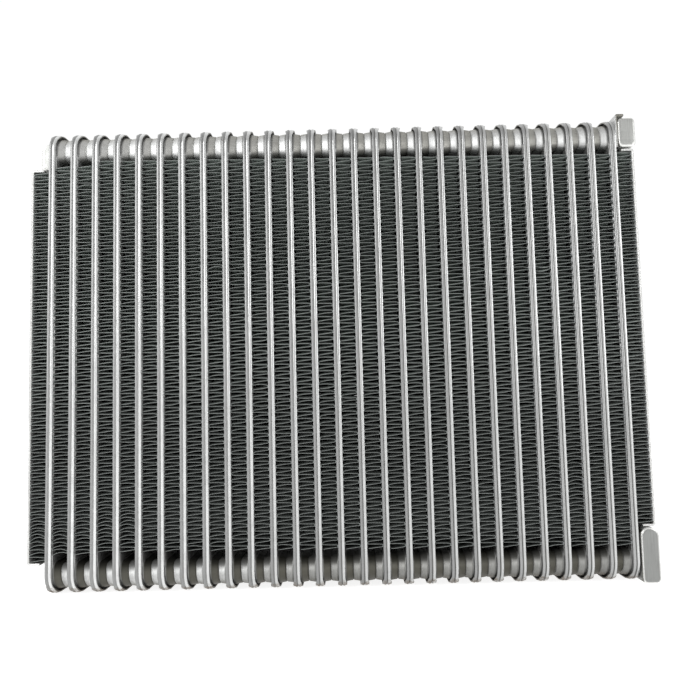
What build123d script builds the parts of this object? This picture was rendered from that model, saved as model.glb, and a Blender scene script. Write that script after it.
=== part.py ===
"""Evaporator core: brazed tube plates, folded fins, side plates and drawn tank caps.

Millimetres. +X runs across the core, +Y from its front face to its back and +Z up. The
origin is under the middle of the core, on the plane that the plate rims stand on.
"""

import os
from math import acos, atan2, cos, hypot, pi, radians, sin

from build123d import *

# Driving dimensions of the stack
plate_count = 27
sheet = 0.5
tube_thickness = 3.0
fin_height = 7.8
braze_gap = 0.02

# Outline of a tube plate
plate_height = 230.0
plate_depth = 60.0
plate_corner = 11.0

# Rim: two lips that turn outwards from a seam
seam_groove = 0.45
lip_crown = 0.75
lip_brow = 1.2
brow_fall = 0.1
lip_shoulder = 1.5
shoulder_fall = 0.28
lip_half = 2.15
lip_fall = 0.4
lip_root = 1.3
rim_width = 2.2
flare_start = 5.0
flare_full = 2.7
flare_overrun = 3.0

# Tray that holds the two passages, with a pressed rib between them
tray_inset = 1.4
passage_inset = 2.6
passage_corner = 6.0
rib_web = 2.5
rib_groove = 1.5
rib_end = 22.0

# Drawn cups that make the tanks
cup_inset = 2.0
cup_height = 14.0
cup_corner = 3.5
cup_taper = 9.0
cup_edge = 0.35
tank_gap = 4.0
opening_length = 17.0
opening_height = 7.0

# Folded fins
fin_sheet = 0.1
fin_inset = 1.0
wave_pitch = 3.33
wave_lean = 0.29
crest_radius = 0.585
crest_folds = (-45.0, 0.0, 45.0)
fin_top_gap = 0.8
fin_bottom_gap = 5.2
fin_drift = 3.1
settled_gaps = {1: 1.2, 2: 1.0}
settled_legs = 1

# Side plates
side_sheet = 0.9
side_tab = 6.0
side_inset = 1.0
side_bend = 1.3
side_fin_gap = 0.8
left_side_low = 15.3
left_side_high = 209.1
right_side_low = 26.9
right_side_high = 212.5

# Tank caps, measured outwards from the centre of the end plate
cap_wall = 1.0
cap_edge = 1.2
cap_reach = 11.4
cap_seat = 2.3
cap_inset = 3.0
cap_mouth_inset = 2.0
cap_mouth_ends = 6.0
top_left_reach = 6.6
top_left_low = 209.8
top_left_high = 223.4
top_left_corners = (0.0, 0.0, 4.4, 1.5)
top_right_low = 213.3
top_right_high = 228.3
top_right_corners = (2.8, 2.8, 2.0, 2.6)
top_right_mouth_inset = 3.5
bottom_right_low = 0.1
bottom_right_high = 26.5
bottom_right_corners = (2.5, 4.4, 4.4, 2.5)
mouth_low = 4.0
mouth_high = 24.0
port_height = 6.0

# End flange of plate 27, with the tab bent over the cap
flange_sheet = 1.0
flange_high = 229.0
hook_reach = 5.8
hook_width = 9.0
hook_inner_bend = 0.25

# Refrigerant bores
inlet_radius = 4.0
outlet_radius = 7.0
collar_wall = 1.2
collar_length = 4.0
bore_offset = 13.0

pitch = tube_thickness + fin_height
tube_half = tube_thickness / 2
cup_reach = (pitch - braze_gap) / 2
side_reach = tube_half + fin_height + side_sheet
stack_shift = (side_reach - cap_reach) / 2
tray_taper = 45.0
front = -plate_depth / 2
mid_height = plate_height / 2
cups_low = plate_height - cup_inset - cup_height
cap_face = tube_half + braze_gap


def plate_x(number):
    """Seam plane of a tube plate, numbered from 1 at the left."""
    return stack_shift + (number - (plate_count + 1) / 2) * pitch


def side_plane(x):
    """Plane facing +X, with its own origin at the plates' mid height."""
    return Plane(origin=(x, 0, mid_height), x_dir=(0, 1, 0), z_dir=(1, 0, 0))


def draw_plate_outline(inset):
    """Rounded outline of a plate, on a side plane."""
    RectangleRounded(plate_depth - 2 * inset, plate_height - 2 * inset, plate_corner - inset)


def make_tank_solid(inset, edge=0.0):
    """The front top tank of one half, inset from the outside of its cup, with a bevelled edge."""
    base = side_plane(tube_half - inset)
    outer_y = front + cup_inset + inset
    inner_y = -tank_gap / 2 - inset
    high = mid_height - cup_inset - inset
    low = high - cup_height + 2 * inset
    inner_radius = cup_corner - inset
    outer_radius = plate_corner - cup_inset - inset
    with BuildPart() as tank:
        with BuildSketch(base):
            with BuildLine():
                FilletPolyline(
                    (outer_y, low),
                    (outer_y, high),
                    (inner_y, high),
                    (inner_y, low),
                    radius=[inner_radius, outer_radius, inner_radius, inner_radius],
                    close=True,
                )
            make_face()
        extrude(amount=cup_reach - tube_half)
        walls = tank.faces() - tank.faces().filter_by(Axis.X)
        draft(walls, neutral_plane=base, angle=cup_taper)
        if edge:
            chamfer(tank.faces().sort_by(Axis.X)[-1].edges(), length=edge)
    return tank.part


def make_tray():
    """The raised middle of one half, which holds the passages."""
    base = side_plane(sheet)
    with BuildPart() as tray:
        with BuildSketch(base):
            draw_plate_outline(tray_inset)
        extrude(amount=tube_half - sheet)
        walls = tray.faces() - tray.faces().filter_by(Axis.X)
        draft(walls, neutral_plane=base, angle=tray_taper)
    return tray.part


def at_four_tanks(shape, mode=Mode.ADD):
    """Adds or cuts a shape at the front top tank, and its mirror images at the others."""
    rear = mirror(shape, about=Plane.XZ, mode=Mode.PRIVATE)
    for tank in (shape, rear):
        add(tank, mode=mode)
        mirror(tank, about=Plane.XY.offset(mid_height), mode=mode)


def draw_slots(heights, slot_height):
    """Openings of the front and rear tanks, centred at heights above mid height."""
    tank_y = (front + cup_inset - tank_gap / 2) / 2
    with Locations(*[(y, height) for y in (tank_y, -tank_y) for height in heights]):
        SlotOverall(opening_length, slot_height)


def make_rim():
    """Brazed seam of a plate pair, which opens outwards into two rounded lips."""
    with BuildPart() as rim:
        with BuildLine(Plane.YZ) as half_outline:
            FilletPolyline(
                (front, mid_height),
                (front, plate_height),
                (-front, plate_height),
                (-front, mid_height),
                radius=plate_corner,
            )
        with BuildSketch(Plane.XY.offset(mid_height)):
            with BuildLine():
                crown = (lip_crown, front)
                TangentArc(crown, (0, front + seam_groove), tangent=(-1, 0))
                Polyline(
                    crown,
                    (lip_brow, front + brow_fall),
                    (lip_shoulder, front + shoulder_fall),
                    (lip_half, front + lip_fall),
                    (lip_half, front + lip_fall + sheet),
                    (sheet, front + lip_root),
                    (sheet, front + rim_width),
                    (0, front + rim_width),
                    (0, front + seam_groove),
                )
            make_face()
            mirror(about=Plane.YZ)
        sweep(path=half_outline.wires()[0])
        mirror(about=Plane.XY.offset(mid_height))

        # The lips are trimmed narrower along the fins and flare out beside the tanks. The
        # trim's slope runs on past the lips.
        run_out = flare_overrun * (lip_half - lip_shoulder)
        run_rise = flare_overrun * (flare_start - flare_full)
        narrow_high = mid_height - flare_start
        behind = Plane(origin=(0, plate_depth, mid_height), x_dir=(1, 0, 0), z_dir=(0, -1, 0))
        with BuildSketch(behind):
            with BuildLine():
                Polyline(
                    (0, mid_height + run_rise),
                    (lip_shoulder + run_out, mid_height + run_rise),
                    (lip_shoulder + run_out, narrow_high + run_rise),
                    (lip_shoulder, narrow_high),
                    (lip_shoulder, 0),
                    (0, 0),
                    close=True,
                )
            make_face()
            mirror(about=Plane.YZ)
            mirror(about=Plane.XZ)
        extrude(amount=2 * plate_depth, mode=Mode.INTERSECT)
    return rim.part


def make_half(cupped, slot_heights=()):
    """One stamped half on the +X side of the seam, cupped or flat with slots."""
    with BuildPart() as half:
        with BuildSketch(side_plane(0)):
            draw_plate_outline(lip_root)
        extrude(amount=sheet)
        add(make_tray())
        if cupped:
            at_four_tanks(make_tank_solid(0, cup_edge))

        # Passages, and the rib groove pressed between them
        passage_width = (plate_depth - rib_web) / 2 - passage_inset
        passage_y = (rib_web + passage_width) / 2
        with BuildSketch(side_plane(0)):
            with Locations((passage_y, 0), (-passage_y, 0)):
                RectangleRounded(passage_width, plate_height - 2 * passage_inset, passage_corner)
        extrude(amount=tube_half - sheet, mode=Mode.SUBTRACT)
        with BuildSketch(side_plane(sheet)):
            SlotOverall(plate_height - 2 * rib_end, rib_groove, rotation=90)
        extrude(amount=tube_half, mode=Mode.SUBTRACT)

        if cupped:
            at_four_tanks(make_tank_solid(sheet), Mode.SUBTRACT)
            tank_height = mid_height - cup_inset - cup_height / 2
            with BuildSketch(side_plane(tube_half)):
                draw_slots((tank_height, -tank_height), opening_height)
            extrude(amount=cup_reach, mode=Mode.SUBTRACT)
        elif slot_heights:
            with BuildSketch(side_plane(0)):
                draw_slots([height - mid_height for height in slot_heights], port_height)
            extrude(amount=pitch, mode=Mode.SUBTRACT)
    return half.part


def make_pair(rim, left, right):
    """A brazed pair of halves, centred on its seam."""
    with BuildPart() as pair:
        add(rim)
        add(right)
        mirror(left, about=Plane.YZ)
    return pair.part


def make_end_pair(pair, slot_height):
    """Plate 27: the pair with its square end flange and the tab bent over the cap."""
    flange_low = top_right_low
    flange_middle = (flange_low + flange_high) / 2 - mid_height
    with BuildPart() as end_pair:
        add(pair)
        with BuildSketch(side_plane(tube_half)):
            with Locations((0, flange_middle)):
                Rectangle(plate_depth, flange_high - flange_low)
        extrude(amount=flange_sheet)
        with BuildSketch(side_plane(tube_half)):
            draw_slots([slot_height - mid_height], port_height)
        extrude(amount=flange_sheet, mode=Mode.SUBTRACT)
        hook_low = flange_high - flange_sheet
        flange_face = tube_half + flange_sheet
        with BuildSketch(Plane.XZ.offset(-front)):
            with BuildLine():
                FilletPolyline(
                    (tube_half, hook_low),
                    (tube_half, flange_high + flange_sheet),
                    (hook_reach, flange_high + flange_sheet),
                    (hook_reach, flange_high),
                    (flange_face, flange_high),
                    (flange_face, hook_low),
                    radius=[flange_sheet, hook_inner_bend, 0, 0],
                )
                Line((flange_face, hook_low), (tube_half, hook_low))
            make_face()
        extrude(amount=-hook_width)
    return end_pair.part


def fin_legs(span):
    """Number of legs of a fin that is span high."""
    return int((span + 2 * crest_radius) / (wave_pitch / 2))


def leg_slope(rise, run):
    """Slope of a straight leg that joins two opposite crests, rise and run apart."""
    return acos(2 * crest_radius / hypot(run, rise)) - atan2(run, rise)


def ribbon_side(legs, shift):
    """Corners of one face of the folded ribbon, shift to the left of its middle."""
    crest_x = fin_height / 2 - braze_gap - crest_radius - fin_sheet / 2
    rises = (wave_pitch / 2 + wave_lean, wave_pitch / 2 - wave_lean)
    slopes = [leg_slope(rise, 2 * crest_x) for rise in rises]
    height = -crest_radius
    corners = []
    for crest in range(legs + 1):
        side = 1 if crest % 2 else -1
        radius = crest_radius - shift * side
        arriving = slopes[(crest - 1) % 2] - pi / 2
        leaving = pi / 2 - slopes[crest % 2]
        if crest == 0:
            folds = [leaving, leaving]
        elif crest == legs:
            folds = [arriving, arriving]
        else:
            folds = [arriving, *map(radians, crest_folds), leaving]
        for first, second in zip(folds, folds[1:]):
            reach = radius / cos((second - first) / 2)
            angle = (first + second) / 2
            corners.append((side * (crest_x + reach * cos(angle)), height + reach * sin(angle)))
        height += rises[crest % 2]
    return corners


def make_fin(span):
    """A folded fin that stands on height 0, its crests just short of the plates."""
    legs = fin_legs(span)
    near_corners = ribbon_side(legs, fin_sheet / 2)
    far_corners = ribbon_side(legs, -fin_sheet / 2)
    with BuildPart() as fin:
        with BuildSketch(Plane.XZ.offset(-front - fin_inset)):
            with BuildLine():
                Polyline(near_corners + far_corners[::-1], close=True)
            make_face()
        extrude(amount=2 * (front + fin_inset))
    return fin.part


def make_side_plate(side, low, high):
    """Thin plate over an outer fin, with both ends bent in towards the core."""
    outer = side * side_reach
    inner = side * (side_reach - side_sheet)
    tip = side * (side_reach - side_tab)
    inner_bend = side_bend - side_sheet
    with BuildPart() as plate:
        with BuildSketch(Plane.XZ):
            with BuildLine():
                FilletPolyline(
                    (tip, low),
                    (outer, low),
                    (outer, high),
                    (tip, high),
                    (tip, high - side_sheet),
                    (inner, high - side_sheet),
                    (inner, low + side_sheet),
                    (tip, low + side_sheet),
                    radius=[0, side_bend, side_bend, 0, 0, inner_bend, inner_bend, 0],
                    close=True,
                )
            make_face()
        extrude(amount=plate_depth / 2 - side_inset, both=True)
    return plate.part


def make_cap(near, reach, low, high, corners, half_depth):
    """Hollow drawn cap. corners are its radii: near low, near high, far high, far low."""
    with BuildPart() as cap:
        with BuildSketch(Plane.XZ) as outline:
            with BuildLine():
                FilletPolyline(
                    (near, low),
                    (near, high),
                    (reach, high),
                    (reach, low),
                    radius=list(corners),
                    close=True,
                )
            make_face()
        extrude(amount=half_depth, both=True)
        rims = cap.faces().filter_by(Axis.Y).edges()
        if not corners[0]:
            rims = rims.filter_by(lambda rim_edge: abs(rim_edge.center().X - near) > cap_edge)
        fillet(rims, radius=cap_edge)
        with BuildSketch(Plane.XZ):
            add(outline.sketch)
            offset(amount=-cap_wall)
        extrude(amount=half_depth - cap_wall, both=True, mode=Mode.SUBTRACT)
    return cap.part


def open_mouth(cap, near, low, high):
    """Cuts the cap's mouth, through the wall at its near face."""
    with BuildPart() as opened:
        add(cap)
        with BuildSketch(side_plane(near)):
            with Locations((0, (low + high) / 2 - mid_height)):
                RectangleRounded(plate_depth - 2 * cap_mouth_ends, high - low, cap_wall)
        extrude(amount=2 * cap_wall, both=True, mode=Mode.SUBTRACT)
    return opened.part


def add_bore(cap, height, radius):
    """Adds an inward collar and its bore to the outer wall of a right cap."""
    outer = Plane(origin=(cap_reach, bore_offset, height), x_dir=(0, 1, 0), z_dir=(-1, 0, 0))
    with BuildPart() as bored:
        add(cap)
        with BuildSketch(outer.offset(cap_wall / 2)):
            Circle(radius + collar_wall)
        extrude(amount=collar_length - cap_wall / 2)
        with BuildSketch(outer):
            Circle(radius)
        extrude(amount=collar_length, mode=Mode.SUBTRACT)
    return bored.part


def write_piece(name, shape, x=0.0, z=0.0):
    """Puts a piece in its place in the core and writes it."""
    with BuildPart() as piece:
        with Locations((x, 0, z)):
            add(shape, clean=False)
    piece.part.label = name
    export_step(piece.part, f"parts/{name}.step", write_pcurves=False)


os.makedirs("parts", exist_ok=True)

# Tube plates
top_left_middle = (top_left_low + top_left_high) / 2
top_right_middle = (top_right_low + top_right_high) / 2
bottom_right_middle = (mouth_low + mouth_high) / 2
rim = make_rim()
cupped_half = make_half(cupped=True)
left_half = make_half(cupped=False, slot_heights=[top_left_middle])
right_half = make_half(cupped=False, slot_heights=[top_right_middle, bottom_right_middle])
inner_pair = make_pair(rim, cupped_half, cupped_half)
first_pair = make_pair(rim, left_half, cupped_half)
last_pair = make_end_pair(make_pair(rim, cupped_half, right_half), top_right_middle)
for number in range(1, plate_count + 1):
    pair = {1: first_pair, plate_count: last_pair}.get(number, inner_pair)
    write_piece(f"tube_plate_{number:02d}", pair, plate_x(number))

# Fins between the plates, which sit a little lower towards the right
inner_span = cups_low - (cup_inset + cup_height) - fin_top_gap - fin_bottom_gap
full_fin = make_fin(inner_span)
short_fin = make_fin(inner_span - settled_legs * wave_pitch / 2)
for gap in range(1, plate_count):
    gap_x = plate_x(gap) + pitch / 2
    low = cups_low - fin_top_gap - inner_span - fin_drift * (gap - 1) / (plate_count - 2)
    fin = short_fin if gap in settled_gaps else full_fin
    write_piece(f"fin_{gap + 1:02d}", fin, gap_x, low - settled_gaps.get(gap, 0))

# Outer fins and side plates
outer_columns = (
    ("left", -1, plate_x(1), "fin_01", left_side_low, left_side_high),
    ("right", 1, plate_x(plate_count), f"fin_{plate_count + 1}", right_side_low, right_side_high),
)
for hand, side, end_x, fin_name, low, high in outer_columns:
    fin_low = low + side_sheet + side_fin_gap
    fin = make_fin(high - side_sheet - side_fin_gap - fin_low)
    write_piece(fin_name, fin, end_x + side * (tube_half + fin_height / 2), fin_low)
    write_piece(f"side_plate_{hand}", make_side_plate(side, low, high), end_x)

# Tank caps
cap_half_depth = plate_depth / 2 - cap_inset
top_left = make_cap(
    -cap_face, -top_left_reach, top_left_low, top_left_high, top_left_corners, cap_half_depth
)
top_left = open_mouth(
    top_left, -cap_face, top_left_low + cap_mouth_inset, top_left_high - cap_mouth_inset
)
write_piece("top_left_cap", top_left, plate_x(1))

flange_face = cap_face + flange_sheet
top_right = make_cap(
    flange_face, cap_reach, top_right_low, top_right_high, top_right_corners, plate_depth / 2
)
top_right = open_mouth(
    top_right,
    flange_face,
    top_right_low + top_right_mouth_inset,
    top_right_high - top_right_mouth_inset,
)
top_right = add_bore(top_right, top_right_middle, inlet_radius)
write_piece("top_right_cap", top_right, plate_x(plate_count))

bottom_right = make_cap(
    cap_seat, cap_reach, bottom_right_low, bottom_right_high, bottom_right_corners, plate_depth / 2
)
with BuildPart() as seated:
    add(bottom_right)
    with BuildSketch(side_plane(cap_face)):
        with Locations((0, bottom_right_middle - mid_height)):
            RectangleRounded(2 * cap_half_depth, mouth_high - mouth_low, 2 * cap_wall)
    extrude(amount=cap_seat + cap_wall / 2 - cap_face)
bottom_right = open_mouth(
    seated.part, cap_face, mouth_low + cap_mouth_inset, mouth_high - cap_mouth_inset
)
bottom_right = add_bore(bottom_right, bottom_right_middle, outlet_radius)
write_piece("bottom_right_cap", bottom_right, plate_x(plate_count))
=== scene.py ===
"""Looks of a laminated evaporator core: folded fins, brazed tube plates, side plates and caps."""

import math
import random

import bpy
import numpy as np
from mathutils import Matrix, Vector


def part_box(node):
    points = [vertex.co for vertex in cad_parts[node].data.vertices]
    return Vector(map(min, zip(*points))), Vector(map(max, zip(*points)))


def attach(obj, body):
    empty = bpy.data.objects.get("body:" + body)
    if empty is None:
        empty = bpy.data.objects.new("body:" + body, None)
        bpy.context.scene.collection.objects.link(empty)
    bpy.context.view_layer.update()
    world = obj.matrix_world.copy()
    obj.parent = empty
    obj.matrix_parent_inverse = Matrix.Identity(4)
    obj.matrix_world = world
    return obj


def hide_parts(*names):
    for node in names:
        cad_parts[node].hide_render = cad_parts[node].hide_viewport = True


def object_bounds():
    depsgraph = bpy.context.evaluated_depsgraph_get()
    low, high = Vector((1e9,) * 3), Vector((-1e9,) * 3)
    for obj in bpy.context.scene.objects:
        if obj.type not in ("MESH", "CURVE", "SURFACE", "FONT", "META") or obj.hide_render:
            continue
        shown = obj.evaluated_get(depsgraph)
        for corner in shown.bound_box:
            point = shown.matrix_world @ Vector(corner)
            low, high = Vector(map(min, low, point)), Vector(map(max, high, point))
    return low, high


bl_info = {
    "name": "Evaporator core",
    "version": (1, 0, 0),
    "blender": (4, 5, 0),
    "location": "View3D > Sidebar > Evaporator",
    "description": "Dresses the packed evaporator core with detailed fins and aluminium finishes",
    "category": "Object",
}

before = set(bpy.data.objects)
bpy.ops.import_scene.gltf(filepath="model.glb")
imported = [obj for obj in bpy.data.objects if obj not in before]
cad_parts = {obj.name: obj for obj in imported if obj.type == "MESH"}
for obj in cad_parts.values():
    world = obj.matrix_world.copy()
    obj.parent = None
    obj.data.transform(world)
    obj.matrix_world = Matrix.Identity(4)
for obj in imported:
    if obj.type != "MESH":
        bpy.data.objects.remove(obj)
cad_low, cad_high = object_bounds()

MM = 0.001
BODY = "root"
PLATES = sorted(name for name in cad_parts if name.startswith("tube_plate_"))
FINS = sorted(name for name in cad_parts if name.startswith("fin_"))


def node_middle(name):
    """Middle of a node's box."""
    low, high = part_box(name)
    return (low + high) / 2


SECOND_SEAM = node_middle(PLATES[1]).x
PITCH = node_middle(PLATES[2]).x - SECOND_SEAM

# Corner radius of a plate's outline
PLATE_CORNER = 11 * MM

# Distances from a plate's seam: end of a lip, middle of the flank behind it, and start of a cup
LIP_END = 1.6 * MM
FLANK = 2.0 * MM
CUP_START = 2.4 * MM

# Heights of the bottom cups' upper side and of the end of their film, and the rounding of those cups
LOW_CUPS_TOP = 16 * MM
LOW_CUPS_FADE = 20 * MM
ROUND_MIDDLE = 6 * MM
ROUND_RADIUS = 10 * MM

# Width of the photo's frame, and of the camera's sensor in millimetres
FRAME_PIXELS = 700
SENSOR_WIDTH = 36.0


class FinSettings(bpy.types.PropertyGroup):
    """Sizes and colours of the folded fins."""

    wave_pitch: bpy.props.FloatProperty(
        name="Wave pitch", description="Height of one full fold", default=3.33 * MM, unit="LENGTH"
    )
    wave_lean: bpy.props.FloatProperty(
        name="Wave lean",
        description="How much more one leg of a fold climbs than half a fold",
        default=0.29 * MM,
        unit="LENGTH",
    )
    crest_radius: bpy.props.FloatProperty(
        name="Crest radius",
        description="Radius of the fold at a crest, to the middle of the sheet",
        default=0.585 * MM,
        unit="LENGTH",
    )
    sheet: bpy.props.FloatProperty(
        name="Sheet", description="Thickness of the fin sheet", default=0.1 * MM, unit="LENGTH"
    )
    burr: bpy.props.FloatProperty(
        name="Burr",
        description="Thickness of the sheared edge at the front and back",
        default=0.2 * MM,
        unit="LENGTH",
    )
    crest_burr: bpy.props.FloatProperty(
        name="Crest burr",
        description="Thickness of the braze that fills a crest at the front and back",
        default=0.5 * MM,
        unit="LENGTH",
    )
    depth_wave: bpy.props.FloatProperty(
        name="Depth wave",
        description="How far the louvre banks push the legs up near the front and down near the back",
        default=1.05 * MM,
        unit="LENGTH",
    )
    wave_run_out: bpy.props.FloatProperty(
        name="Wave run-out",
        description="Height over which the depth wave fades out at each end of a fin",
        default=8 * MM,
        unit="LENGTH",
    )
    bow: bpy.props.FloatProperty(
        name="Bow",
        description="Usual height of a leg's bow at its front edge",
        default=0.13 * MM,
        unit="LENGTH",
    )
    louvre_pitch: bpy.props.FloatProperty(
        name="Louvre pitch", description="Depth of one louvre", default=1.3 * MM, unit="LENGTH"
    )
    # Height below which the legs grow darker towards the bottom
    darkening_top: bpy.props.FloatProperty(
        name="Grime top",
        description="Height up to which the legs are darker",
        default=150 * MM,
        unit="LENGTH",
    )
    leg_colour: bpy.props.FloatVectorProperty(
        name="Leg colour",
        description="Colour of the coated legs",
        default=(0.4, 0.44, 0.415),
        subtype="COLOR",
    )
    crest_colour: bpy.props.FloatVectorProperty(
        name="Crest colour",
        description="Colour of the brazed crests",
        default=(0.44, 0.46, 0.465),
        subtype="COLOR",
    )
    edge_colour: bpy.props.FloatVectorProperty(
        name="Edge colour",
        description="Colour of the sheared front and back edges",
        default=(0.24, 0.256, 0.247),
        subtype="COLOR",
    )


class MetalSettings(bpy.types.PropertyGroup):
    """Colours of the bare aluminium pieces and of the light and shade painted on them, and the taper of the
    cups.
    """

    plate_colour: bpy.props.FloatVectorProperty(
        name="Plate colour",
        description="Clean metal of the tube plates",
        default=(0.6, 0.605, 0.6),
        subtype="COLOR",
    )
    # Painted shade with a warm tint, on the right sides of the drawn cups
    shade_tarnish_colour: bpy.props.FloatVectorProperty(
        name="Tarnish colour",
        description="Warm dull metal on the right sides of the drawn cups",
        default=(0.375, 0.368, 0.333),
        subtype="COLOR",
    )
    cap_colour: bpy.props.FloatVectorProperty(
        name="Cap colour",
        description="Metal of the tank caps",
        default=(0.46, 0.466, 0.45),
        subtype="COLOR",
    )
    cup_taper: bpy.props.FloatProperty(
        name="Cup taper",
        description="How much a drawn cup narrows towards the middle of its gap, as a slope",
        default=0.37,
    )
    # Painted shade: a darker copy of the cap metal for the bottom cap
    shaded_cap_colour: bpy.props.FloatVectorProperty(
        name="Low cap colour",
        description="Tarnished metal of the bottom cap",
        default=(0.28, 0.284, 0.276),
        subtype="COLOR",
    )
    side_colour: bpy.props.FloatVectorProperty(
        name="Side plate colour",
        description="Pale mill finish of the side plates",
        default=(0.74, 0.74, 0.73),
        subtype="COLOR",
    )
    # Painted highlight on the rounded edges of caps and side plates
    highlighted_colour: bpy.props.FloatVectorProperty(
        name="Worn colour",
        description="Bright metal of worn edges",
        default=(0.9, 0.9, 0.88),
        subtype="COLOR",
    )
    flux_colour: bpy.props.FloatVectorProperty(
        name="Flux colour",
        description="Brown residue of the brazing flux",
        default=(0.16, 0.125, 0.09),
        subtype="COLOR",
    )
    # Olive film, and painted shade where the cups round off and on the bottom cups
    olive_colour: bpy.props.FloatVectorProperty(
        name="Olive colour",
        description="Olive film at the rounded ends of the cups",
        default=(0.15, 0.142, 0.108),
        subtype="COLOR",
    )
    # Painted shade: in the seams, behind the lips, near the fins and beside the edges of caps and side plates
    painted_shade_colour: bpy.props.FloatVectorProperty(
        name="Soot colour",
        description="Dark film in the seams, behind the lips and near the fins",
        default=(0.045, 0.044, 0.037),
        subtype="COLOR",
    )


class StageSettings(bpy.types.PropertyGroup):
    """Camera, lamps and floor."""

    camera_place: bpy.props.FloatVectorProperty(
        name="Camera place",
        description="Where the camera stands",
        default=(6.407 * MM, -334.081 * MM, 92.501 * MM),
        subtype="TRANSLATION",
        unit="LENGTH",
    )
    camera_pitch: bpy.props.FloatProperty(
        name="Camera pitch",
        description="How far the camera looks up",
        default=math.radians(4.211),
        subtype="ANGLE",
    )
    camera_roll: bpy.props.FloatProperty(
        name="Camera roll",
        description="How far the camera leans clockwise",
        default=math.radians(1.427),
        subtype="ANGLE",
    )
    camera_yaw: bpy.props.FloatProperty(
        name="Camera yaw",
        description="How far the camera is turned to its left",
        default=math.radians(0.114),
        subtype="ANGLE",
    )
    focal_pixels: bpy.props.FloatProperty(
        name="Focal length in pixels",
        description="Focal length, in pixels of a frame 700 wide",
        default=624.965,
    )
    key_place: bpy.props.FloatVectorProperty(
        name="Key place",
        description="Where the key lamp hangs, at the left",
        default=(-0.68, -0.55, 0.5),
        subtype="TRANSLATION",
        unit="LENGTH",
    )
    key_size: bpy.props.FloatProperty(
        name="Key size", description="Width of the key lamp", default=0.65, unit="LENGTH"
    )
    key_power: bpy.props.FloatProperty(
        name="Key power", description="Power of the key lamp", default=5.4, subtype="POWER"
    )
    side_place: bpy.props.FloatVectorProperty(
        name="Side place",
        description="Where the side lamp hangs, at the right",
        default=(0.6, -0.36, 0.26),
        subtype="TRANSLATION",
        unit="LENGTH",
    )
    side_size: bpy.props.FloatProperty(
        name="Side size", description="Width of the side lamp", default=0.35, unit="LENGTH"
    )
    side_power: bpy.props.FloatProperty(
        name="Side power", description="Power of the side lamp", default=1.3, subtype="POWER"
    )
    front_strength: bpy.props.FloatProperty(
        name="Front strength", description="Brightness of the room in front of the core", default=0.6
    )
    back_strength: bpy.props.FloatProperty(
        name="Back strength", description="Brightness of the white wall behind the core", default=1.02
    )
    floor_glow: bpy.props.FloatProperty(
        name="Floor glow", description="What the floor gives off where it is seen", default=0.86
    )
    floor_colour: bpy.props.FloatVectorProperty(
        name="Floor colour",
        description="Colour of the floor",
        default=(0.5, 0.5, 0.5),
        subtype="COLOR",
    )


class NodeSheet:
    """A node tree that is filled in one call for each node."""

    def __init__(self, tree):
        self.tree = tree

    def feed(self, socket, value):
        """Links a node's output to an input, or sets the input's own value."""
        if isinstance(value, bpy.types.NodeSocket):
            self.tree.links.new(value, socket)
        else:
            socket.default_value = value

    def add(self, kind, settings=None, **inputs):
        """Makes a node, sets its properties and feeds its inputs by name, or by number as in0, in1."""
        node = self.tree.nodes.new(kind)
        for name, value in (settings or {}).items():
            setattr(node, name, value)
        for key, value in inputs.items():
            by_number = key.startswith("in") and key[2:].isdigit()
            self.feed(node.inputs[int(key[2:]) if by_number else key.replace("_", " ")], value)
        return node

    def math(self, operation, first, second=0.0):
        """A math node's result."""
        return self.add("ShaderNodeMath", {"operation": operation}, in0=first, in1=second).outputs[0]

    def product(self, first, *others):
        """Several values multiplied."""
        for other in others:
            first = self.math("MULTIPLY", first, other)
        return first

    def largest(self, first, *others):
        """The largest of several values."""
        for other in others:
            first = self.math("MAXIMUM", first, other)
        return first

    def noise(self, vector, scale, detail=2.0, roughness=0.5):
        """A noise value from 0 to 1."""
        node = self.add(
            "ShaderNodeTexNoise", None, Vector=vector, Scale=scale, Detail=detail, Roughness=roughness
        )
        return node.outputs["Fac"]

    def split(self, vector):
        """The X, Y and Z of a vector."""
        return self.add("ShaderNodeSeparateXYZ", None, Vector=vector).outputs

    def ramp(self, value, low, high, out_low=0.0, out_high=1.0):
        """A value mapped from one range to another, smoothly and within the range."""
        node = self.add(
            "ShaderNodeMapRange",
            {"interpolation_type": "SMOOTHSTEP"},
            Value=value,
            From_Min=low,
            From_Max=high,
            To_Min=out_low,
            To_Max=out_high,
        )
        return node.outputs[0]

    def mix_value(self, factor, first, second):
        """A value mixed from two."""
        difference = self.math("SUBTRACT", second, first)
        return self.math("ADD", first, self.math("MULTIPLY", difference, factor))

    def mix(self, factor, first, second):
        """A colour mixed from two."""
        node = self.add("ShaderNodeMix", {"data_type": "RGBA"}, in0=factor, in6=first, in7=second)
        return node.outputs[2]

    def mix_normal(self, factor, first, second):
        """A normal mixed from two."""
        node = self.add("ShaderNodeMix", {"data_type": "VECTOR"}, in0=factor, in4=first, in5=second)
        return self.add("ShaderNodeVectorMath", {"operation": "NORMALIZE"}, in0=node.outputs[1]).outputs[0]

    def soften(self, radius):
        """A normal averaged over a radius, which rounds sharp edges."""
        return self.add("ShaderNodeBevel", {"samples": 6}, Radius=radius).outputs[0]

    def bump(self, height, normal=None, strength=1.0, distance=1.0):
        """A normal tilted by the slope of a height."""
        given = {} if normal is None else {"Normal": normal}
        node = self.add("ShaderNodeBump", None, Strength=strength, Distance=distance, Height=height, **given)
        return node.outputs[0]


def shade(colour, factor=1.0):
    """A colour made darker or lighter, with full alpha."""
    return (*(channel * factor for channel in colour[:3]), 1.0)


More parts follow.
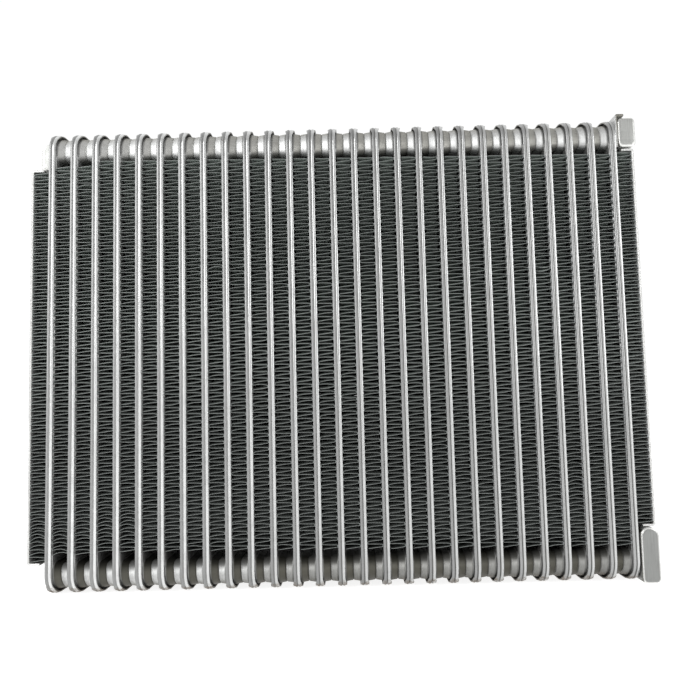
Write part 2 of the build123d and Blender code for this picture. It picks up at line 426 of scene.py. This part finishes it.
def new_group(name, inputs, outputs):
    """An empty shader node group with float or vector sockets, and its input and output nodes."""
    group = bpy.data.node_groups.new(name, "ShaderNodeTree")
    kinds = {"value": "NodeSocketFloat", "vector": "NodeSocketVector"}
    for socket_name, kind, default in inputs:
        socket = group.interface.new_socket(socket_name, in_out="INPUT", socket_type=kinds[kind])
        socket.default_value = default
    for socket_name in outputs:
        group.interface.new_socket(socket_name, in_out="OUTPUT", socket_type=kinds["value"])
    sheet = NodeSheet(group)
    return sheet, sheet.add("NodeGroupInput").outputs, sheet.add("NodeGroupOutput").inputs


def build_rolling_group():
    """Fine streaks that rolling or drawing leaves in sheet, along Z, with a cloudy unevenness."""
    sheet, given, wanted = new_group(
        "Rolling streaks",
        [("Place", "vector", (0, 0, 0)), ("Across", "value", 2600.0), ("Along", "value", 60.0)],
        ["Streaks", "Clouds"],
    )
    scale = sheet.add("ShaderNodeCombineXYZ", None, X=given["Across"], Y=given["Across"], Z=given["Along"])
    stretched = sheet.add(
        "ShaderNodeVectorMath", {"operation": "MULTIPLY"}, in0=given["Place"], in1=scale.outputs[0]
    )
    sheet.feed(wanted["Streaks"], sheet.noise(stretched.outputs[0], 1.0, 3.0, 0.6))
    sheet.feed(wanted["Clouds"], sheet.noise(given["Place"], 140.0, 4.0, 0.55))


def build_stain_group():
    """Blotches of flux residue and dirt, from the amount that is asked for at each place."""
    sheet, given, wanted = new_group(
        "Flux stain",
        [("Place", "vector", (0, 0, 0)), ("Amount", "value", 0.3), ("Size", "value", 300.0)],
        ["Mask"],
    )
    blotches = sheet.noise(given["Place"], given["Size"], 5.0, 0.65)
    threshold = sheet.math("SUBTRACT", 1.0, given["Amount"])
    sheet.feed(wanted["Mask"], sheet.ramp(sheet.math("SUBTRACT", blotches, threshold), -0.22, 0.18))


def new_material(name):
    """A material, with a sheet to add nodes to and the inputs of its shader."""
    material = bpy.data.materials.new(name)
    material.use_nodes = True
    return material, NodeSheet(material.node_tree), material.node_tree.nodes["Principled BSDF"].inputs


def place_of(sheet):
    """The place of a point on the object, in metres."""
    return sheet.add("ShaderNodeTexCoord").outputs["Object"]


def use_group(sheet, name, **inputs):
    """The outputs of a shared group."""
    return sheet.add("ShaderNodeGroup", {"node_tree": bpy.data.node_groups[name]}, **inputs).outputs


def build_fin_materials(settings):
    """Materials of the legs, the brazed crests and the sheared edges."""
    legs, sheet, shader = new_material("fin_legs")
    place = place_of(sheet)
    rolled = use_group(sheet, "Rolling streaks", Place=place, Across=900.0, Along=900.0)
    colour = sheet.mix(rolled["Clouds"], shade(settings.leg_colour, 0.6), shade(settings.leg_colour, 1.5))
    axes = sheet.split(place)
    # Legs darker towards the bottom, from the top height down over 95 mm
    darkening_full = settings.darkening_top - 95 * MM
    darkening = sheet.ramp(axes["Z"], settings.darkening_top, darkening_full, 0.0, 0.95)
    sheet.feed(shader["Base Color"], sheet.mix(darkening, colour, shade(settings.leg_colour, 0.2)))
    sheet.feed(shader["Metallic"], 0.2)
    sheet.feed(shader["Roughness"], sheet.ramp(rolled["Streaks"], 0.0, 1.0, 0.4, 0.7))
    louvres = sheet.math("FRACT", sheet.math("MULTIPLY", axes["Y"], 1 / settings.louvre_pitch))
    sheet.feed(shader["Normal"], sheet.bump(louvres, strength=0.6, distance=0.15 * MM))

    crests, sheet, shader = new_material("fin_crests")
    place = place_of(sheet)
    rolled = use_group(sheet, "Rolling streaks", Place=place, Across=700.0, Along=1800.0)
    dark_crest, pale_crest = shade(settings.crest_colour, 0.6), shade(settings.crest_colour, 1.25)
    streaked = sheet.mix(rolled["Streaks"], dark_crest, pale_crest)
    # Crests darker towards the left, mixed towards a darker leg colour
    coated = sheet.ramp(sheet.split(place)["X"], 0.12, 0.04, 0.0, 0.75)
    sheet.feed(shader["Base Color"], sheet.mix(coated, streaked, shade(settings.leg_colour, 0.6)))
    sheet.feed(shader["Metallic"], 0.4)
    sheet.feed(shader["Roughness"], 0.42)

    edges, sheet, shader = new_material("fin_edges")
    patches = sheet.noise(place_of(sheet), 260.0, 3.0, 0.6)
    colour = sheet.mix(patches, shade(settings.edge_colour, 0.55), shade(settings.edge_colour, 1.4))
    sheet.feed(shader["Base Color"], colour)
    sheet.feed(shader["Metallic"], 0.4)
    sheet.feed(shader["Roughness"], 0.5)
    return legs, crests, edges


class PlateZones:
    """Where a point lies on a tube plate, as distances in metres and as shares from 0 to 1."""

    def __init__(self, sheet, axes):
        # Share of a pitch to the right of the nearest seam, below zero at its left
        turns = sheet.math("DIVIDE", sheet.math("SUBTRACT", axes["X"], SECOND_SEAM), PITCH)
        self.beside_seam = sheet.math("SUBTRACT", sheet.math("FRACT", sheet.math("ADD", turns, 100.5)), 0.5)
        self.off_seam = sheet.math("MULTIPLY", sheet.math("ABSOLUTE", self.beside_seam), PITCH)
        self.on_right = sheet.ramp(self.beside_seam, -0.02, 0.02)
        self.on_cup = sheet.ramp(self.off_seam, LIP_END, CUP_START)
        self.is_low = sheet.ramp(axes["Z"], LOW_CUPS_FADE, LOW_CUPS_TOP)
        self.from_outline, self.from_end = outline_distances(sheet, axes)


def outline_distances(sheet, axes):
    """Distance inwards from a plate's rounded outline, and from the nearer end of the core."""
    middle = (cad_low + cad_high) / 2
    across = sheet.math("ABSOLUTE", sheet.math("SUBTRACT", axes["Y"], middle.y))
    up = sheet.math("ABSOLUTE", sheet.math("SUBTRACT", axes["Z"], middle.z))
    from_face = sheet.math("SUBTRACT", cad_high.y - middle.y, across)
    from_end = sheet.math("SUBTRACT", cad_high.z - middle.z, up)
    in_corner_y = sheet.math("MAXIMUM", sheet.math("SUBTRACT", PLATE_CORNER, from_face), 0.0)
    in_corner_z = sheet.math("MAXIMUM", sheet.math("SUBTRACT", PLATE_CORNER, from_end), 0.0)
    squares = sheet.math("ADD", sheet.math("POWER", in_corner_y, 2.0), sheet.math("POWER", in_corner_z, 2.0))
    from_outline = sheet.math("SUBTRACT", PLATE_CORNER, sheet.math("SQRT", squares))
    return from_outline, from_end


def plate_metal(sheet, settings, axes, zones, rolled, streaks):
    """Colour of a plate's metal with painted light towards the left, painted shade with a warm tint on the
    right sides of the cups, and how dull and shaded its left lip is.
    """
    plate = settings.plate_colour
    # Painted light: the metal is made up to about 1.3 times brighter towards the left, on the key lamp's side
    painted_light_at_left = sheet.ramp(axes["X"], 0.02, -0.13)
    streaked = sheet.mix(
        sheet.ramp(streaks, 0.25, 0.75),
        sheet.mix(painted_light_at_left, shade(plate, 0.84), shade(plate, 1.12)),
        sheet.mix(painted_light_at_left, shade(plate, 1.1), shade(plate, 1.42)),
    )
    clouds = sheet.ramp(rolled["Clouds"], 0.45, 0.75, 0.0, 0.35)
    clouded = sheet.mix(clouds, streaked, shade(plate, 0.7))
    # Painted shade with a warm tint on the right sides of the cups, stronger towards the right of the core
    shade_tarnish = sheet.product(zones.on_right, zones.on_cup, sheet.ramp(axes["X"], -0.13, 0.0, 0.4, 0.8))
    shade_tarnished = sheet.mix(shade_tarnish, clouded, shade(settings.shade_tarnish_colour))
    # Painted shade on the left half of each lip, strongest towards the left; the same mask makes it rougher
    dull_shaded_lip = sheet.product(
        sheet.ramp(zones.beside_seam, 0.02, -0.04, 0.0, 0.9),
        sheet.ramp(zones.off_seam, FLANK, 1.5 * MM),
        sheet.ramp(axes["X"], 0.12, 0.03, 0.6, 1.0),
    )
    return sheet.mix(dull_shaded_lip, shade_tarnished, shade(plate, 0.45)), dull_shaded_lip


def plate_films(sheet, settings, place, axes, zones, patches, metal):
    """Colour of the metal under its olive film, painted shade and brown flux, and how much film and shade
    there is.
    """
    # Olive film and painted shade where the cups round off at their ends
    tinted = sheet.product(
        sheet.ramp(zones.from_end, sheet.mix_value(zones.is_low, 8.0 * MM, 7.0 * MM), 2.0 * MM),
        zones.on_cup,
        sheet.ramp(patches, 0.3, 0.65, 0.6, 0.95),
    )
    olive = sheet.mix(tinted, metal, shade(settings.olive_colour))
    # Painted shade with an olive tint on the bottom cups, on the right sides of the plates and towards the
    # right
    film_and_shade_on_left = sheet.ramp(axes["X"], -0.09, 0.0, 0.0, 0.55)
    film = sheet.largest(sheet.math("MULTIPLY", zones.on_right, 0.95), film_and_shade_on_left)
    low_film_and_shade = sheet.product(zones.is_low, zones.on_cup, film)
    olive = sheet.mix(low_film_and_shade, olive, shade(settings.olive_colour, 0.6))
    flux_amount = sheet.ramp(axes["Z"], 6.0 * MM, 1.0 * MM, 0.22, 0.57)
    flux = use_group(sheet, "Flux stain", Place=place, Amount=flux_amount, Size=420.0)["Mask"]
    flux = sheet.math("MULTIPLY", flux, sheet.ramp(zones.from_end, 18 * MM, 3 * MM))
    return sheet.mix(flux, olive, shade(settings.flux_colour)), sheet.largest(low_film_and_shade, tinted)


def plate_painted_shade(sheet, axes, zones, patches):
    """Share of painted shade in the seam, on the flanks behind the lips, and on the cups near the fins."""
    # Painted shade in the seam groove, stronger towards the right
    seam = sheet.product(
        sheet.ramp(zones.off_seam, 0.55 * MM, 0.1 * MM),
        sheet.ramp(zones.from_outline, 1.3 * MM, 0.7 * MM),
        sheet.ramp(axes["X"], -0.1, 0.1, 0.3, 0.75),
    )
    # Painted shade on the flanks behind the lips
    flank = sheet.product(
        sheet.ramp(zones.from_outline, 0.7 * MM, 1.2 * MM),
        sheet.ramp(zones.off_seam, 2.7 * MM, FLANK),
        sheet.ramp(patches, 0.2, 0.6, 0.75, 0.95),
        sheet.mix_value(
            sheet.ramp(zones.from_end, 17 * MM, 22 * MM),
            sheet.ramp(zones.from_end, 3 * MM, 10 * MM, 1.0, 0.55),
            sheet.ramp(axes["X"], -0.02, 0.08, 0.7, 0.15),
        ),
    )
    # Painted shadow on the cups where they meet the fins
    near_fins = sheet.product(
        sheet.ramp(zones.from_end, 11.0 * MM, 16.5 * MM),
        zones.on_cup,
        sheet.ramp(zones.on_right, 0.0, 1.0, 0.3, 0.8),
        sheet.ramp(axes["X"], 0.03, 0.12, 1.0, 0.6),
    )
    # Painted shade at the top of the bottom cups, near the fins
    low_edge = sheet.product(sheet.ramp(axes["Z"], 10.0 * MM, 14.8 * MM), zones.is_low, zones.on_cup, 0.8)
    return sheet.largest(seam, flank, near_fins, low_edge)


def plate_normal(sheet, settings, axes, zones, grain):
    """Normal of a plate, with softened edges, tapered cups, rounded bottom cups and fine grain."""
    softness = sheet.ramp(zones.on_cup, 0.0, 1.0, 0.3 * MM, 1.8 * MM)
    near_joint = sheet.ramp(zones.off_seam, 3.4 * MM, 4.9 * MM, 1.0, 0.08)
    softened = sheet.soften(sheet.math("MULTIPLY", softness, near_joint))
    off_both_seams = sheet.add(
        "ShaderNodeMath",
        {"operation": "SMOOTH_MIN"},
        in0=zones.off_seam,
        in1=sheet.math("SUBTRACT", PITCH, zones.off_seam),
        in2=1.6 * MM,
    ).outputs[0]
    beyond_flank = sheet.math("MAXIMUM", sheet.math("SUBTRACT", off_both_seams, FLANK), 0.0)
    taper = sheet.math("MULTIPLY", beyond_flank, -settings.cup_taper)
    rise = sheet.math("SUBTRACT", sheet.math("MINIMUM", axes["Z"], LOW_CUPS_TOP), ROUND_MIDDLE)
    squared = sheet.math("POWER", sheet.math("ABSOLUTE", rise), 2.0)
    rounding = sheet.math("MULTIPLY", squared, -1 / (2 * ROUND_RADIUS))
    tapered = sheet.bump(taper, softened)
    rounded = sheet.bump(sheet.math("ADD", taper, rounding), softened)
    shaped = sheet.mix_normal(sheet.math("MULTIPLY", zones.is_low, zones.on_cup), tapered, rounded)
    return sheet.bump(grain, shaped, strength=0.35, distance=0.05 * MM)


def build_plate_material(settings):
    """Brazed aluminium: streaked satin metal with painted shade in the seams, behind the lips and near the
    fins, and flux stains.
    """
    material, sheet, shader = new_material("brazed_aluminium")
    place = place_of(sheet)
    axes = sheet.split(place)
    zones = PlateZones(sheet, axes)
    rolled = use_group(sheet, "Rolling streaks", Place=place)
    streaks = sheet.mix_value(sheet.ramp(zones.on_cup, 0.0, 1.0, 0.08, 1.0), 0.5, rolled["Streaks"])
    patches = sheet.noise(place, 330.0, 4.0, 0.6)

    metal, dull_shaded_lip = plate_metal(sheet, settings, axes, zones, rolled, streaks)
    stained, film = plate_films(sheet, settings, place, axes, zones, patches, metal)
    painted_shade = plate_painted_shade(sheet, axes, zones, patches)
    # Painted shade darkens the base colour and makes the metal less metallic
    sheet.feed(shader["Base Color"], sheet.mix(painted_shade, stained, shade(settings.painted_shade_colour)))
    sheet.feed(shader["Metallic"], sheet.ramp(sheet.largest(painted_shade, film), 0.1, 0.8, 0.8, 0.3))

    roughness = sheet.ramp(rolled["Clouds"], 0.2, 0.8, 0.34, 0.5)
    roughness = sheet.math("ADD", roughness, sheet.ramp(zones.on_cup, 0.0, 1.0, -0.1, 0.08))
    roughness = sheet.math("ADD", roughness, sheet.math("MULTIPLY", dull_shaded_lip, 0.15))
    sheet.feed(shader["Roughness"], roughness)
    grain = sheet.math("ADD", streaks, sheet.math("MULTIPLY", rolled["Clouds"], 2.0))
    sheet.feed(shader["Normal"], plate_normal(sheet, settings, axes, zones, grain))
    return material


def build_sheet_material(settings, name, colour, roughness, metallic=0.75):
    """Plain drawn or rolled aluminium with streaks, stains, painted highlights on the rounded edges and a
    thin line of painted shade beside them.
    """
    material, sheet, shader = new_material(name)
    place = place_of(sheet)
    rolled = use_group(sheet, "Rolling streaks", Place=place, Across=1400.0, Along=90.0)
    clean = sheet.mix(sheet.ramp(rolled["Streaks"], 0.2, 0.8), shade(colour, 0.88), shade(colour, 1.08))
    stain = use_group(sheet, "Flux stain", Place=place, Amount=0.3, Size=240.0)["Mask"]
    stained = sheet.mix(sheet.math("MULTIPLY", stain, 0.25), clean, shade(colour, 0.5))

    # Edges are where the softened normal is between two axes, and get a painted highlight
    softened = sheet.soften(1.3 * MM)
    facing = sheet.add("ShaderNodeVectorMath", {"operation": "ABSOLUTE"}, in0=softened).outputs[0]
    facing = sheet.split(facing)
    squareness = sheet.largest(facing["X"], facing["Y"], facing["Z"])
    highlighted = sheet.ramp(squareness, 0.98, 0.88, 0.0, 0.9)
    highlighted = sheet.math("MULTIPLY", highlighted, sheet.ramp(facing["X"], 0.75, 0.6))
    brightened = sheet.mix(highlighted, stained, shade(settings.highlighted_colour))
    # A thin line of painted shade where the edge turns towards the sides
    rim = sheet.math("MULTIPLY", sheet.ramp(facing["X"], 0.6, 0.75), sheet.ramp(facing["X"], 0.98, 0.9))
    sheet.feed(shader["Base Color"], sheet.mix(rim, brightened, shade(settings.painted_shade_colour, 2.5)))
    sheet.feed(shader["Metallic"], metallic)
    spread = sheet.ramp(rolled["Clouds"], 0.2, 0.8, roughness - 0.07, roughness + 0.1)
    sheet.feed(shader["Roughness"], spread)
    sheet.feed(shader["Normal"], sheet.bump(rolled["Clouds"], softened, strength=0.3, distance=0.05 * MM))
    return material


def dress(node_names, material):
    """Gives CAD nodes a material."""
    for name in node_names:
        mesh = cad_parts[name].data
        mesh.materials.clear()
        mesh.materials.append(material)


def ribbon_line(settings, low_z, legs, half_width, wander):
    """Middle line of a folded ribbon: points, normals, leg numbers and shares along the legs.

    A share is -1 on a crest.
    """
    radius = settings.crest_radius
    crest_x = half_width - radius - settings.sheet / 2
    rises = (settings.wave_pitch / 2 + settings.wave_lean, settings.wave_pitch / 2 - settings.wave_lean)
    slopes = [
        math.acos(2 * radius / math.hypot(2 * crest_x, rise)) - math.atan2(2 * crest_x, rise)
        for rise in rises
    ]
    straight = (0.0, 0.2, 0.5, 0.8, 1.0)
    height = low_z - radius
    points, normals, leg_numbers, shares = [], [], [], []
    for leg in range(legs):
        side = 1 if leg % 2 else -1
        slope = slopes[leg % 2]
        sine, cosine = math.sin(slope), math.cos(slope)
        start = (side * (crest_x + radius * sine), height + radius * cosine)
        top = height + rises[leg % 2] + wander.uniform(-0.06, 0.06) * MM
        end = (-side * (crest_x + radius * sine), top - radius * cosine)
        run_x, run_z = end[0] - start[0], end[1] - start[1]
        length = math.hypot(run_x, run_z)
        normal = (-run_z / length, run_x / length)
        for share in straight:
            points.append((start[0] + share * run_x, start[1] + share * run_z))
            normals.append(normal)
            leg_numbers.append(leg)
            shares.append(share)
        if leg < legs - 1:
            next_slope = slopes[(leg + 1) % 2]
            first = -math.pi / 2 + slope
            last = math.pi / 2 - next_slope
            for step in (1, 2, 3):
                angle = first + (last - first) * step / 4
                out_x, out_z = -side * math.cos(angle), math.sin(angle)
                points.append((-side * crest_x + radius * out_x, top + radius * out_z))
                normals.append((side * out_x, side * out_z))
                leg_numbers.append(leg)
                shares.append(-1.0)
        height = top
    return np.array(points), np.array(normals), np.array(leg_numbers), np.array(shares)


# Bent places in the fins: fin number, height, reach up and down, bow of the legs and disorder
BENT_PLACES = (
    (3, 199.0, 3.0, 0.5, 0.55),
    (9, 156.0, 4.0, 0.4, 0.6),
    (8, 167.0, 2.5, 0.3, 0.3),
    (24, 152.5, 3.5, -0.6, 0.5),
    (1, 29.0, 9.0, 0.9, 0.35),
    (2, 27.0, 8.0, 0.7, 0.25),
    (3, 30.0, 8.0, 0.45, 0.15),
    (4, 33.0, 11.0, 0.6, 0.1),
    (5, 34.0, 10.0, 0.55, 0.1),
    (10, 33.0, 6.0, 0.2, 0.4),
    (24, 52.0, 14.0, 0.45, 0.1),
    (25, 50.0, 14.0, 0.5, 0.1),
    (5, 108.0, 4.0, 0.3, 0.3),
)


def bend_of_legs(settings, number, points, leg_numbers, shares, wander):
    """How far each point of a ribbon's middle line moves up at the fin's front or back edge."""
    count = leg_numbers.max() + 1
    bows = np.array([wander.gauss(0.35, 0.9) for _ in range(count)]) * settings.bow
    jitters = np.array([wander.gauss(0.0, 0.35) for _ in range(count)]) * settings.bow
    skews = np.array([wander.gauss(0.0, 0.5) for _ in range(count)])
    share = np.clip(shares, 0.0, 1.0)
    on_leg = shares >= 0
    height = points[:, 1]
    lift = np.where(on_leg, bows[leg_numbers] * 4 * share * (1 - share), 0.0)
    lift = lift + np.where(on_leg, jitters[leg_numbers] * np.sin(2 * np.pi * share) * skews[leg_numbers], 0.0)
    for bent_number, middle, reach, bow, disorder in BENT_PLACES:
        if bent_number != number:
            continue
        near = np.exp(-(((height - middle * MM) / (reach * MM)) ** 2))
        messy = np.array([wander.gauss(0.0, 1.0) for _ in range(count)])
        hump = 4 * share * (1 - share)
        lift = lift + np.where(on_leg, near * bow * MM * hump, 0.0)
        lift = lift + np.where(on_leg, near * disorder * MM * messy[leg_numbers] * 0.5 * hump, 0.0)
    return lift


def make_fin(settings, name, materials):
    """One folded fin, with a burr at its sheared edges and legs that bend near them."""
    number = int(name[-2:])
    wander = random.Random(number)
    low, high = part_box(name)
    middle_x = (low.x + high.x) / 2
    half_width = (high.x - low.x) / 2
    legs = round((high.z - low.z + 2 * settings.crest_radius) / (settings.wave_pitch / 2) - 0.5)
    points, normals, leg_numbers, shares = ribbon_line(settings, low.z, legs, half_width, wander)
    squeeze = (high.z - low.z - settings.sheet) / (points[:, 1].max() - points[:, 1].min())
    base = points[:, 1].min()
    points[:, 1] = low.z + settings.sheet / 2 + (points[:, 1] - base) * squeeze
    front_lift = bend_of_legs(settings, number, points, leg_numbers, shares, wander)
    back_lift = bend_of_legs(settings, 0, points, leg_numbers, shares, wander)

    # Stations from front to back: depth, share of the burr, of the front and back lifts, and of the wave
    depth = high.y - low.y
    stations = (
        (0.0, 1.0, 1.0, 0.0, 0.0),
        (0.25 * MM, 0.0, 0.97, 0.0, 0.0),
        (3.2 * MM, 0.0, 0.6, 0.0, 0.9),
        (11.0 * MM, 0.0, 0.1, 0.0, -1.0),
        (depth - 8.0 * MM, 0.0, 0.0, 0.25, 0.7),
        (depth - 0.25 * MM, 0.0, 0.0, 0.97, 0.0),
        (depth, 1.0, 0.0, 1.0, 0.0),
    )
    count = len(points)
    from_end = np.minimum(points[:, 1] - low.z, high.z - points[:, 1])
    wave = settings.depth_wave * np.clip(from_end / settings.wave_run_out, 0.0, 1.0)
    edge = np.where(shares < 0, settings.crest_burr, settings.burr)
    rows = []
    for into, burred, front_share, back_share, waved in stations:
        lift = front_lift * front_share + back_lift * back_share + waved * wave
        thickness = settings.sheet + burred * (edge - settings.sheet)
        for side in (1, -1):
            row = np.empty((count, 3))
            row[:, 0] = middle_x + points[:, 0] + side * normals[:, 0] * thickness / 2
            row[:, 1] = low.y + into
            row[:, 2] = points[:, 1] + side * normals[:, 1] * thickness / 2 + lift
            rows.append(row)
    vertices = np.concatenate(rows)
    vertices[:, 0] = np.clip(vertices[:, 0], low.x, high.x)

    def index(station, side, point):
        """Number of a vertex."""
        return (2 * station + side) * count + point

    along = np.arange(count - 1)
    faces = []
    kinds = []
    crest_span = (shares[:-1] < 0) | (shares[1:] < 0)
    for station in range(len(stations) - 1):
        for side in (0, 1):
            a = index(station, side, along)
            b = index(station, side, along + 1)
            c = index(station + 1, side, along + 1)
            d = index(station + 1, side, along)
            faces.append(np.stack((a, b, c, d) if side else (d, c, b, a), axis=1))
            kinds.append(np.where(crest_span, 1, 0))
    last = len(stations) - 1
    for station, flip in ((0, False), (last, True)):
        a = index(station, 0, along)
        b = index(station, 0, along + 1)
        c = index(station, 1, along + 1)
        d = index(station, 1, along)
        faces.append(np.stack((d, c, b, a) if flip else (a, b, c, d), axis=1))
        kinds.append(np.where(crest_span, 1, 2))
    steps = np.arange(last)
    for point, flip in ((0, True), (count - 1, False)):
        a = index(steps, 0, point)
        b = index(steps + 1, 0, point)
        c = index(steps + 1, 1, point)
        d = index(steps, 1, point)
        faces.append(np.stack((d, c, b, a) if flip else (a, b, c, d), axis=1))
        kinds.append(np.full(last, 2))
    faces = np.concatenate(faces)
    kinds = np.concatenate(kinds)

    mesh = bpy.data.meshes.new(name.replace("fin", "fin_ribbon"))
    mesh.from_pydata(vertices.tolist(), [], faces.tolist())
    for material in materials:
        mesh.materials.append(material)
    mesh.polygons.foreach_set("material_index", kinds.astype(np.int32))
    mesh.polygons.foreach_set("use_smooth", kinds == 1)
    mesh.update()
    fin = bpy.data.objects.new(mesh.name, mesh)
    bpy.context.scene.collection.objects.link(fin)
    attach(fin, BODY)
    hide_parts(name)
    return fin


class EVAPORATOR_OT_fins(bpy.types.Operator):
    """Builds the folded fins, in place of the plain ones."""

    bl_idname = "evaporator.fins"
    bl_label = "Build fins"

    def execute(self, context):
        settings = context.scene.evaporator_fins
        materials = build_fin_materials(settings)
        for name in FINS:
            make_fin(settings, name, materials)
        return {"FINISHED"}


class EVAPORATOR_OT_tube_plates(bpy.types.Operator):
    """Finishes the brazed tube plates."""

    bl_idname = "evaporator.tube_plates"
    bl_label = "Finish tube plates"

    def execute(self, context):
        dress(PLATES, build_plate_material(context.scene.evaporator_metal))
        return {"FINISHED"}


class EVAPORATOR_OT_side_plates(bpy.types.Operator):
    """Finishes the two side plates."""

    bl_idname = "evaporator.side_plates"
    bl_label = "Finish side plates"

    def execute(self, context):
        settings = context.scene.evaporator_metal
        material = build_sheet_material(settings, "side_sheet", settings.side_colour, 0.45, metallic=0.6)
        dress(("side_plate_left", "side_plate_right"), material)
        return {"FINISHED"}


class EVAPORATOR_OT_caps(bpy.types.Operator):
    """Finishes the three drawn caps."""

    bl_idname = "evaporator.caps"
    bl_label = "Finish caps"

    def execute(self, context):
        settings = context.scene.evaporator_metal
        top_material = build_sheet_material(settings, "drawn_cap", settings.cap_colour, 0.4)
        # The bottom cap gets a darker copy of the cap metal, as painted shade
        low_material = build_sheet_material(settings, "shade_tarnished_cap", settings.shaded_cap_colour, 0.36)
        dress(("top_left_cap", "top_right_cap"), top_material)
        dress(("bottom_right_cap",), low_material)
        return {"FINISHED"}


def aim(thing, place, target):
    """Puts a lamp at a place and turns it to a target."""
    thing.location = place
    thing.rotation_euler = (Vector(target) - Vector(place)).to_track_quat("-Z", "Y").to_euler()


def add_lamp(name, place, target, size, power):
    """A square soft lamp."""
    lamp = bpy.data.lights.new(name, "AREA")
    lamp.size = size
    lamp.energy = power
    thing = bpy.data.objects.new(name, lamp)
    thing.visible_camera = False
    bpy.context.scene.collection.objects.link(thing)
    aim(thing, place, target)
    return thing


class EVAPORATOR_OT_stage(bpy.types.Operator):
    """Sets the camera, the lamps, the pale room and the floor."""

    bl_idname = "evaporator.stage"
    bl_label = "Set stage"

    def execute(self, context):
        settings = context.scene.evaporator_stage
        scene = context.scene
        scene.view_settings.view_transform = "Standard"

        camera_data = bpy.data.cameras.new("camera")
        camera_data.sensor_width = SENSOR_WIDTH
        camera_data.lens = SENSOR_WIDTH * settings.focal_pixels / FRAME_PIXELS
        camera = bpy.data.objects.new("camera", camera_data)
        scene.collection.objects.link(camera)
        camera.location = settings.camera_place
        upright = Matrix.Rotation(math.pi / 2 + settings.camera_pitch, 3, "X")
        turned = Matrix.Rotation(settings.camera_yaw, 3, "Z") @ upright
        camera.rotation_euler = (turned @ Matrix.Rotation(-settings.camera_roll, 3, "Z")).to_euler()
        scene.camera = camera

        middle = (cad_low + cad_high) / 2
        add_lamp("key", settings.key_place, middle, settings.key_size, settings.key_power)
        add_lamp("side", settings.side_place, middle, settings.side_size, settings.side_power)

        world = bpy.data.worlds.new("pale_room")
        world.use_nodes = True
        scene.world = world
        sheet = NodeSheet(world.node_tree)
        background = world.node_tree.nodes["Background"]
        sheet.feed(background.inputs["Color"], (1.0, 1.0, 1.0, 1.0))
        toward_back = sheet.split(sheet.add("ShaderNodeTexCoord").outputs["Generated"])["Y"]
        strength = sheet.ramp(toward_back, -0.25, 0.3, settings.front_strength, settings.back_strength)
        sheet.feed(background.inputs["Strength"], strength)

        reach = 3.0
        height = cad_low.z
        floor_mesh = bpy.data.meshes.new("floor")
        signs = ((-1, -1), (1, -1), (1, 1), (-1, 1))
        corners = [(across * reach, along * reach, height) for across, along in signs]
        floor_mesh.from_pydata(corners, [], [(0, 1, 2, 3)])
        floor = bpy.data.objects.new("floor", floor_mesh)
        scene.collection.objects.link(floor)
        material, sheet, shader = new_material("pale_floor")
        sheet.feed(shader["Base Color"], shade(settings.floor_colour))
        sheet.feed(shader["Roughness"], 0.9)
        sheet.feed(shader["Emission Color"], (1.0, 1.0, 1.0, 1.0))
        path = sheet.add("ShaderNodeLightPath").outputs
        seen = sheet.largest(path["Is Camera Ray"], path["Is Glossy Ray"], path["Is Transmission Ray"])
        sheet.feed(shader["Emission Strength"], sheet.math("MULTIPLY", seen, settings.floor_glow))
        floor_mesh.materials.append(material)
        return {"FINISHED"}


class EVAPORATOR_PT_panel(bpy.types.Panel):
    """Buttons and settings of the evaporator core."""

    bl_idname = "EVAPORATOR_PT_panel"
    bl_label = "Evaporator core"
    bl_space_type = "VIEW_3D"
    bl_region_type = "UI"
    bl_category = "Evaporator"

    def draw(self, context):
        """Draws a button for each operator and a box for each group of settings."""
        for operator in OPERATORS:
            self.layout.operator(operator.bl_idname)
        for settings in (
            context.scene.evaporator_fins,
            context.scene.evaporator_metal,
            context.scene.evaporator_stage,
        ):
            box = self.layout.box()
            for key in settings.bl_rna.properties.keys():
                if key not in ("rna_type", "name"):
                    box.prop(settings, key)


SETTINGS = (FinSettings, MetalSettings, StageSettings)
OPERATORS = (
    EVAPORATOR_OT_fins,
    EVAPORATOR_OT_tube_plates,
    EVAPORATOR_OT_side_plates,
    EVAPORATOR_OT_caps,
    EVAPORATOR_OT_stage,
)


def register():
    """Adds the settings, the operators and the panel to Blender."""
    for kind in (*SETTINGS, *OPERATORS, EVAPORATOR_PT_panel):
        bpy.utils.register_class(kind)
    bpy.types.Scene.evaporator_fins = bpy.props.PointerProperty(type=FinSettings)
    bpy.types.Scene.evaporator_metal = bpy.props.PointerProperty(type=MetalSettings)
    bpy.types.Scene.evaporator_stage = bpy.props.PointerProperty(type=StageSettings)


def unregister():
    """Takes the settings, the operators and the panel out again."""
    del bpy.types.Scene.evaporator_fins
    del bpy.types.Scene.evaporator_metal
    del bpy.types.Scene.evaporator_stage
    for kind in (EVAPORATOR_PT_panel, *reversed(OPERATORS), *reversed(SETTINGS)):
        bpy.utils.unregister_class(kind)


def main():
    """Dresses every piece and sets the stage."""
    register()
    build_rolling_group()
    build_stain_group()
    bpy.ops.evaporator.fins()
    bpy.ops.evaporator.tube_plates()
    bpy.ops.evaporator.side_plates()
    bpy.ops.evaporator.caps()
    bpy.ops.evaporator.stage()


if __name__ == "__main__":
    main()
